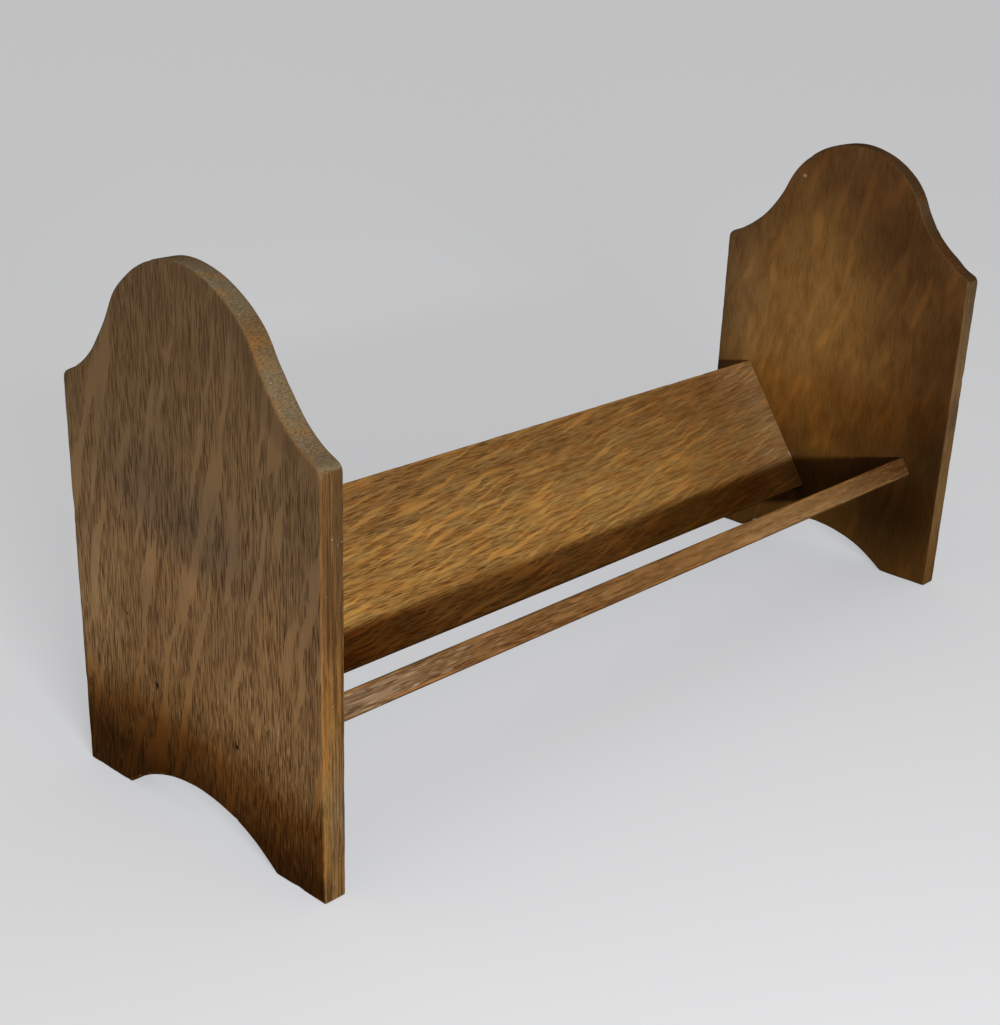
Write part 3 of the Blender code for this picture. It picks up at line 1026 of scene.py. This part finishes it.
def make_panel(side, seed):
    """One end panel, worn, at its place; side is -1 on the left and 1 on the right."""
    shape = flat_panel()
    outline = outline_tree(shape)
    outer = side * HALF_LENGTH
    inner = side * INNER_FACE
    thicken(shape, inner, outer)
    for centre in FIXINGS.values():
        punch(shape, Vector((outer, centre.y, centre.z)), side)

    def to_rim(place):
        flat = Vector((0, place.y, place.z))
        return (outline.find(flat)[0] - flat).length

    def to_arris(place):
        below = THICKNESS / 2 - abs(place.x - (outer + inner) / 2)
        return max(0.0, math.hypot(max(0.0, below), to_rim(place)) - 0.25 * MM)

    wear(shape, to_arris, to_rim, seed, PANEL_WEAR)
    rub_shoulders(shape)
    if side < 0:
        near_cut(shape, to_rim)
    else:
        far_cut(shape)
    return shape


finished_piece("left_end_panel_worn", make_panel(-1, 3.1), panel_oak, "left_end_panel")
finished_piece("right_end_panel_worn", make_panel(1, 8.6), panel_oak, "right_end_panel")

# %% [markdown]
# ## The boards' oak
#
# The back board faces the books and has been rubbed by them to a warm gold, browner towards its
# top and duller at the far end. The rail's front edge is the part that hands touch: its colour is
# paler, with pale wax left in the pores, and its long arrises are worn down to bright orange wood.
# Both boards lie tilted, so the pattern is first turned into the board's own directions. The figure
# is the panels' oak at another scale, so only the ground colours and the marks are new.

# %% The boards' own directions
BOARD_AXES = Matrix((OUT, UP, -ALONG)).transposed()
RAIL_AXES = Matrix((UP, -OUT, -ALONG)).transposed()
BOARD_BACK = (0.15, 0.085, 0.038)
BOARD_RELIEF = 0.06 * MM
BOARD_COAT = 0.36


def wood_place(finish, axes):
    """The place and the way of the surface in a board's own directions."""
    turn = tuple(axes.to_euler())
    wood = lay(object_place(finish), (1, 1, 1), turn, tuple(CORNER))
    return wood, parts_of(lay(object_facing(finish), (1, 1, 1), turn))


print("board faces along", tuple(round(a, 2) for a in OUT))

# %% Back board ground
BOARD_GOLD = (0.348, 0.187, 0.053)
BOARD_BROWN = (0.244, 0.118, 0.035)

board_oak = new_finish("oak_board")
board, board_face = wood_place(board_oak, BOARD_AXES)
_, across, along = parts_of(board)
bands = cloud(board, mm(12, 8, 240), detail=2.0)
mottle = cloud(board, mm(30, 20, 60), detail=3.0, rough=0.55)
brown = across.rise(0.05, 0.084) * 0.5 + (bands - 0.45) * 1.2 + along.rise(-0.08, -0.19) * 0.85
streaks = cloud(board, mm(5, 1.5, 26), (math.radians(4), 0, 0), detail=2.0).rise(0.46, 0.64)
hue = cloud(board, mm(12, 5, 18), centre=(0.31, 0.17, 0.05), detail=2.0).rise(0.36, 0.64)
# Painted shade: the strip in the rail's shadow is tinted along the board, lighter in the middle.
painted_shade_tint = (
    along.rise(-0.13, -0.02).between((0.84, 0.7, 0.49), (1.25, 1.08, 0.98))
    .covered(along.rise(0.06, 0.15), (0.77, 0.49, 0.28))
)
low_share = across.rise(0.072, 0.036) * (along.rise(-0.15, 0.02) * 0.7 + 0.3)
# Painted sheen: the far end of the back board is made paler and bluer.
painted_sheen = along.rise(-0.16, -0.206) * (mottle * 0.6 + 0.6)
back_share = board_face[0].rise(0.2, -0.4)
board_ground = (
    brown.least(1.0).most(0.0).between(BOARD_GOLD, BOARD_BROWN)
    .covered(mottle.rise(0.5, 0.72) * 0.35, BOARD_BROWN)
    .toned(streaks * 0.85, (0.67, 0.6, 0.51))
    .tint((1.02, 1.04, 1.08))
    .tint(hue.between((1.04, 0.96, 0.9), (0.97, 1.03, 1.1)))
    .toned(across.rise(0.0262, 0.0225), painted_shade_tint)
    .tint(low_share.between((0.92, 0.93, 0.96), (1.1, 1.1, 1.07)))
    .toned(painted_sheen, (1.24, 1.46, 1.95))
    .covered(back_share * 0.85, BOARD_BACK)
)
print("board oak: ground")

# %% Back board figure and shader
BOARD_SLANT = math.radians(11)
BOARD_FLECKS = mm(9, 2.3, 34)
BOARD_PORES = mm(0.62, 0.62, 8)
BOARD_LIFT = (1.33, 1.31, 1.21)
BOARD_WORN = (0.43, 0.205, 0.052)

fleck, pores, grain = oak_figure(board, BOARD_SLANT, BOARD_FLECKS, 0.53, BOARD_PORES, 0.52, 0.08)
rubbed = along.rise(0.1, -0.2) * 0.6
board_pores = pores * 0.62 * (1 - rubbed)
board_grain = grain * (0.885 - rubbed * 0.2)
patches = cloud(board, mm(2.5, 3, 14), detail=2.0, rough=0.6)
worn = painted(board_oak, "arris").rise(0.0014, 0.0004) * patches.rise(0.36, 0.54) * (1 - back_share)
glue = blot(board, (0.0, 0.0275, -0.217), mm(1.2, 2.4, 1.3), soft=0.3)
board_colour = (
    figured(board_ground, fleck, board_pores, board_grain, BOARD_LIFT)
    .covered(worn * 0.8, BOARD_WORN)
    .covered(glue * 0.9, DUST)
)
height = grain * 0.35 + fleck * 0.15 - pores * 0.8 + glue * 1.5
rough = pores * 0.14 - fleck * 0.05 + back_share * 0.2 + 0.42
polish = (across.rise(0.015, 0.035) * 0.14 + 0.03) * (1 - back_share) * (1 - pores * 0.4)
waxed(board_colour, rough, height, BOARD_RELIEF, polish, BOARD_COAT)

# %% Front rail ground
RAIL_RAMP_REACH = 0.22
RAIL_STOPS = (
    (0.03, (0.15, 0.07, 0.025)),
    (0.1, (0.205, 0.104, 0.038)),
    (0.17, (0.285, 0.158, 0.06)),
    (0.27, (0.335, 0.192, 0.078)),
    (0.36, (0.302, 0.162, 0.06)),
    (0.46, (0.234, 0.114, 0.035)),
    (0.64, (0.23, 0.114, 0.038)),
    (0.74, (0.205, 0.098, 0.032)),
    (0.83, (0.243, 0.138, 0.06)),
    (0.93, (0.249, 0.16, 0.094)),
)

rail_oak = new_finish("oak_rail")
rail, rail_face = wood_place(rail_oak, RAIL_AXES)
along = parts_of(rail)[2]
along_share = along / (2 * RAIL_RAMP_REACH) + 0.5
bands = cloud(rail, mm(3, 9, 260), detail=2.0)
under_share = rail_face[0].rise(-0.3, -0.8)
rail_ground = (
    rail_oak.node("ShaderNodeValToRGB", {"Fac": along_share}, stops=RAIL_STOPS)
    .toned(bands.rise(0.4, 0.62), (0.81, 0.73, 0.64))
    .covered(under_share * 0.75, BOARD_BACK)
)
print("rail oak: ground")

# %% Front rail figure and shader
RAIL_SLANT = math.radians(6)
RAIL_FLECKS = mm(2.4, 5, 30)
RAIL_PORES = mm(0.6, 0.65, 9)
RAIL_LIFT = (1.17, 1.18, 1.25)
RAIL_WAX = (0.43, 0.32, 0.2)
RAIL_WORN = (0.48, 0.225, 0.056)

fleck, pores, grain = oak_figure(rail, RAIL_SLANT, RAIL_FLECKS, 0.55, RAIL_PORES, 0.52, 0.06)
rail_pores = pores * (along.rise(-0.05, 0.18) * 0.42 + 0.28)
rail_grain = grain * (along.rise(-0.1, 0.12) * 0.12 + 0.88)
on_front = rail_face[1].rise(-0.3, -0.8)
wax = cloud(rail, mm(0.8, 1, 10), centre=(0.07, 0.21, 0.13))
wax = wax.rise(0.6, 0.68) * on_front * (along.rise(0.05, 0.2) * 0.5 + 0.2)
patches = cloud(rail, mm(3, 3, 30), detail=2.0, rough=0.6)
worn = painted(rail_oak, "arris").rise(0.0013, 0.0004) * patches.rise(0.42, 0.62) * (1 - under_share)
worn = worn * (along.rise(-0.216, -0.17) * 0.7 + 0.3)
scuff = blot(rail, (-0.0106, -0.07, 0.212), mm(1.3, 3, 5), soft=0.6)
rail_colour = (
    figured(rail_ground, fleck, rail_pores, rail_grain, RAIL_LIFT)
    .covered(wax, RAIL_WAX)
    .covered(worn * 0.62, RAIL_WORN)
    .covered(scuff * patches.rise(0.4, 0.55) * 0.8, DUST)
)
height = grain * 0.35 + fleck * 0.12 - pores * 0.8
rough = pores * 0.14 - worn * 0.08 + under_share * 0.2 + 0.44
polish = (1 - under_share) * (0.16 - pores * 0.06)
waxed(rail_colour, rough, height, BOARD_RELIEF, polish, BOARD_COAT)

# %% [markdown]
# ## The back board and the rail
#
# Both are plain planed strips whose twelve arrises have gone round. A modifier could round them,
# but wear has to differ from place to place, so the block is bevelled and cut in the mesh, worn in
# its own directions, and only then laid at its tilt.

# %% Boards
BOARD_FACE_PLACES = (-0.0107, 0)
BOARD_EDGE_PLACES = (0.0075, 0.088)
RAIL_FACE_PLACES = (-0.0108, 0)
RAIL_EDGE_PLACES = (-0.07, -0.02)
CUT_PITCHES = mm(2.5, 4, 3)


def make_board(faces, edges, axes, rounding, depth, seed):
    """A worn board between these places in its own directions, laid at its place."""
    low, high = (Vector(ends) for ends in zip(faces, edges, (-BOARD_REACH, BOARD_REACH)))
    middle = (low + high) / 2
    reach = (high - low) / 2
    shape = bmesh.new()
    bmesh.ops.create_cube(shape, size=2)
    bmesh.ops.scale(shape, verts=shape.verts, vec=reach)
    bmesh.ops.translate(shape, verts=shape.verts, vec=middle)
    round_edges(shape, shape.edges[:], rounding, 4)
    for axis, pitch in enumerate(CUT_PITCHES):
        direction = Vector([float(axis == n) for n in range(3)])
        ends = low[axis] + 2 * rounding, high[axis] - 2 * rounding
        slice_shape(shape, [*ends, *steps_between(*ends, pitch)], direction)

    def to_arris(place):
        gaps = sorted(reach[n] - abs(place[n] - middle[n]) for n in range(3))
        return max(0.0, math.hypot(max(0.0, gaps[0]), max(0.0, gaps[1])) - 0.3 * rounding)

    wear(shape, to_arris, to_arris, seed, depth)
    bmesh.ops.transform(shape, matrix=Matrix.Translation(CORNER) @ axes.to_4x4(), verts=shape.verts)
    return shape


board_shape = make_board(BOARD_FACE_PLACES, BOARD_EDGE_PLACES, BOARD_AXES, 1.0 * MM, 0.5 * MM, 5.7)
finished_piece("back_board_worn", board_shape, board_oak, "back_board")
rail_shape = make_board(RAIL_FACE_PLACES, RAIL_EDGE_PLACES, RAIL_AXES, 1.4 * MM, 0.6 * MM, 2.2)
finished_piece("front_rail_worn", rail_shape, rail_oak, "front_rail")

# %% [markdown]
# ## Pins and stopping
#
# Steel wire pins run through each panel into the boards' ends. Only the stopping over their heads
# shows. Two marks are dark, the rest took the colour of the wood. Each plug has shrunk a little, so
# it is a dished disc whose outline and top are uneven, set just below the wood.

# %% Stopping finish
STOPPING_DARK = (0.026, 0.015, 0.006)
STOPPING_BROWN = (0.195, 0.11, 0.046)
DARK_PLUGS = ("board_low", "rail_back")

stopping_finish = new_finish("dark_stopping")
at = object_place(stopping_finish)
spot = cloud(at, mm(0.5, 0.5, 0.5), detail=2.0)
first_dark, last_dark = (
    blot(at, (-HALF_LENGTH, *FIXINGS[name].yz), mm(5, 5, 5), soft=0.5) for name in DARK_PLUGS
)
stopping_colour = (
    (last_dark + first_dark).between(STOPPING_BROWN, STOPPING_DARK)
    .covered(spot.rise(0.45, 0.7) * 0.5, STOPPING_DARK)
)
waxed(stopping_colour, spot * 0.3 + 0.5, spot, 0.08 * MM)

# %% Stoppings
PLUG_RADIUS = STOPPING_RADIUS * 1.02
PLUG_HEIGHT = 0.62 * MM
PLUG_RINGS = mm(0.25, 0.35)
PLUG_DISH = 0.06 * MM
PLUG_SHRINK = 0.08
PLUG_LUMPS = 0.8 * MM
PLUG_SUNK = 0.8 * MM


def make_stopping(side, centre, seed):
    """A dished, uneven plug just under the panel's outer face."""
    shape = bmesh.new()
    bmesh.ops.create_circle(shape, cap_ends=True, segments=20, radius=PLUG_RADIUS)
    raised = bmesh.ops.extrude_face_region(shape, geom=shape.faces[:])
    bmesh.ops.translate(shape, verts=verts_of(raised["geom"]), vec=(0, 0, PLUG_HEIGHT))
    bmesh.ops.recalc_face_normals(shape, faces=shape.faces)
    for ring in PLUG_RINGS:
        cap = max(shape.faces, key=lambda f: f.calc_center_median().z + f.calc_area())
        bmesh.ops.inset_region(shape, faces=[cap], thickness=ring, depth=-PLUG_DISH)
    for vert in shape.verts:
        uneven = noise.noise(vert.co / PLUG_LUMPS + Vector((seed, seed, seed)))
        vert.co.x *= 1 - PLUG_SHRINK * abs(uneven)
        vert.co.z += PLUG_DISH * uneven
    place = Matrix.Translation((side * (HALF_LENGTH - PLUG_SUNK), centre.y, centre.z))
    turn = Matrix.Rotation(side * math.pi / 2, 4, "Y")
    bmesh.ops.transform(shape, matrix=place @ turn, verts=shape.verts)
    return shape


for side_name, side in (("left", -1), ("right", 1)):
    for number, (place_name, centre) in enumerate(FIXINGS.items()):
        name = f"stopping_{side_name}_{place_name}"
        shape = make_stopping(side, centre, number + 3 * side)
        finished_piece(name + "_shrunk", shape, stopping_finish, name)

# %% Pins
PIN_GREY = (0.24, 0.225, 0.205)
PIN_BROWN = (0.11, 0.075, 0.05)
PIN_RELIEF = 0.01 * MM

pin_finish = new_finish("pin_steel")
at = object_place(pin_finish)
drawn = cloud(at, mm(9, 0.12, 0.12), detail=2.0)
stain = cloud(at, mm(1.6, 0.8, 0.8), detail=3.0).rise(0.48, 0.66)
bump_fed = {"Strength": 1.0, "Distance": PIN_RELIEF, "Height": drawn}
pin_fed = {
    "Base Color": stain.between(PIN_GREY, PIN_BROWN),
    "Metallic": 1 - stain * 0.7,
    "Roughness": stain * 0.3 + drawn * 0.15 + 0.35,
    "Normal": pin_finish.node("ShaderNodeBump", bump_fed),
}
pin_finish.surface(pin_finish.node("ShaderNodeBsdfPrincipled", pin_fed))
pins = [thing for thing in bpy.data.objects if thing.name.startswith("pin_") and thing.type == "MESH"]
for pin in pins:
    for slot in pin.material_slots:
        slot.material = pin_finish.owner
print(len(pins), "pins keep their solids")

# %% [markdown]
# ## Keeping the size
#
# Wear only takes wood off, and the hand-cut domes stay within a few millimetres of the solids, so
# the dressed trough should fill the same box. Both boxes are gathered here.


# %% Both sizes
boxes = {"cad": solid_box, "visual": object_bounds()}
{name: [list(corner) for corner in box] for name, box in boxes.items()}
